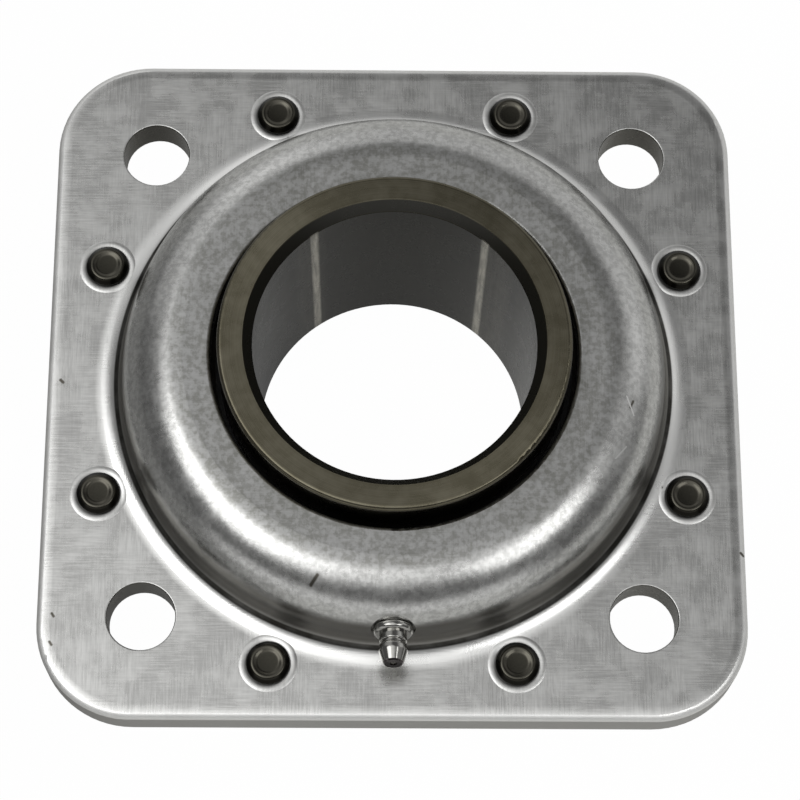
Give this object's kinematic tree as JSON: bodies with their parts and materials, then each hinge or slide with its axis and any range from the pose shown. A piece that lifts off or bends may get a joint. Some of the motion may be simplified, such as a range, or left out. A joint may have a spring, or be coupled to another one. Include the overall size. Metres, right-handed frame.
{
  "type": "flanged bearing",
  "caption": "Self-aligning ball bearing with a long inner ring, in a square flange of riveted pressed halves with a grease fitting.",
  "frame": {"origin": "middle of the bore, on the plane where the two flange halves meet", "axes": "+Z along the bore, towards the half that carries the grease fitting; -Y towards the fitting; X and Y along the flange's sides"},
  "size_m": [0.1398, 0.1398, 0.0556],
  "materials": {
    "pressed_steel": "zinc plated, brushed",
    "rivet_steel": "black oxide",
    "ground_steel": "ground",
    "ring_steel": "turned, oiled",
    "cage_steel": "pressed",
    "plated_steel": "bright zinc plated",
    "spring_steel": "drawn wire",
    "seal_steel": "phosphated black",
    "seal_rubber": "moulded nitrile rubber"
  },
  "bodies": {
    "housing": {"front_flange": "pressed_steel", "rear_flange": "pressed_steel", "flange_rivets": "rivet_steel", "grease_fitting": "plated_steel", "grease_spring": "spring_steel"},
    "outer_ring": {"outer_ring": "ground_steel", "front_seal_case": "seal_steel", "front_seal_lips": "seal_rubber", "front_seal_shroud": "seal_steel", "rear_seal_case": "seal_steel", "rear_seal_lips": "seal_rubber", "rear_seal_shroud": "seal_steel"},
    "inner_ring": {"inner_ring": "ring_steel"},
    "cage": {"front_cage": "cage_steel", "rear_cage": "cage_steel", "cage_rivets": "cage_steel"},
    "check_ball": {"grease_check_ball": "ground_steel"},
    "ball_01": {"ball_01": "ground_steel"},
    "ball_02": {"ball_02": "ground_steel"},
    "ball_03": {"ball_03": "ground_steel"},
    "ball_04": {"ball_04": "ground_steel"},
    "ball_05": {"ball_05": "ground_steel"},
    "ball_06": {"ball_06": "ground_steel"},
    "ball_07": {"ball_07": "ground_steel"},
    "ball_08": {"ball_08": "ground_steel"},
    "ball_09": {"ball_09": "ground_steel"},
    "ball_10": {"ball_10": "ground_steel"}
  },
  "joints": [
    {"name": "swivel", "type": "hinge", "parent": "housing", "child": "outer_ring", "pos_m": [0, 0, 0], "axis": [1, 0, 0], "range_deg": [-3, 3]},
    {"name": "spin", "type": "hinge", "parent": "outer_ring", "child": "inner_ring", "pos_m": [0, 0, 0], "axis": [0, 0, 1], "continuous": true},
    {"name": "cage_orbit", "type": "hinge", "parent": "outer_ring", "child": "cage", "pos_m": [0, 0, 0], "axis": [0, 0, 1], "continuous": true},
    {"name": "ball_01_roll", "type": "hinge", "parent": "cage", "child": "ball_01", "pos_m": [0.03877, 0, 0], "axis": [0, 0, 1], "continuous": true},
    {"name": "ball_02_roll", "type": "hinge", "parent": "cage", "child": "ball_02", "pos_m": [0.03137, 0.02279, 0], "axis": [0, 0, 1], "continuous": true},
    {"name": "ball_03_roll", "type": "hinge", "parent": "cage", "child": "ball_03", "pos_m": [0.01198, 0.03687, 0], "axis": [0, 0, 1], "continuous": true},
    {"name": "ball_04_roll", "type": "hinge", "parent": "cage", "child": "ball_04", "pos_m": [-0.01198, 0.03687, 0], "axis": [0, 0, 1], "continuous": true},
    {"name": "ball_05_roll", "type": "hinge", "parent": "cage", "child": "ball_05", "pos_m": [-0.03137, 0.02279, 0], "axis": [0, 0, 1], "continuous": true},
    {"name": "ball_06_roll", "type": "hinge", "parent": "cage", "child": "ball_06", "pos_m": [-0.03877, 0, 0], "axis": [0, 0, 1], "continuous": true},
    {"name": "ball_07_roll", "type": "hinge", "parent": "cage", "child": "ball_07", "pos_m": [-0.03137, -0.02279, 0], "axis": [0, 0, 1], "continuous": true},
    {"name": "ball_08_roll", "type": "hinge", "parent": "cage", "child": "ball_08", "pos_m": [-0.01198, -0.03687, 0], "axis": [0, 0, 1], "continuous": true},
    {"name": "ball_09_roll", "type": "hinge", "parent": "cage", "child": "ball_09", "pos_m": [0.01198, -0.03687, 0], "axis": [0, 0, 1], "continuous": true},
    {"name": "ball_10_roll", "type": "hinge", "parent": "cage", "child": "ball_10", "pos_m": [0.03137, -0.02279, 0], "axis": [0, 0, 1], "continuous": true},
    {"name": "check_ball_lift", "type": "slide", "parent": "housing", "child": "check_ball", "axis": [0, 0.9781, -0.2079], "range_m": [0, 0.0008], "stiffness_N_per_m": 60, "springref_m": -0.001, "deforming": ["grease_spring"]}
  ],
  "couplings": [
    {"joint": "cage_orbit", "follows": "spin", "ratio": 0.40787},
    {"joint": "ball_01_roll", "follows": "spin", "ratio": -2.6214},
    {"joint": "ball_02_roll", "follows": "spin", "ratio": -2.6214},
    {"joint": "ball_03_roll", "follows": "spin", "ratio": -2.6214},
    {"joint": "ball_04_roll", "follows": "spin", "ratio": -2.6214},
    {"joint": "ball_05_roll", "follows": "spin", "ratio": -2.6214},
    {"joint": "ball_06_roll", "follows": "spin", "ratio": -2.6214},
    {"joint": "ball_07_roll", "follows": "spin", "ratio": -2.6214},
    {"joint": "ball_08_roll", "follows": "spin", "ratio": -2.6214},
    {"joint": "ball_09_roll", "follows": "spin", "ratio": -2.6214},
    {"joint": "ball_10_roll", "follows": "spin", "ratio": -2.6214}
  ]
}
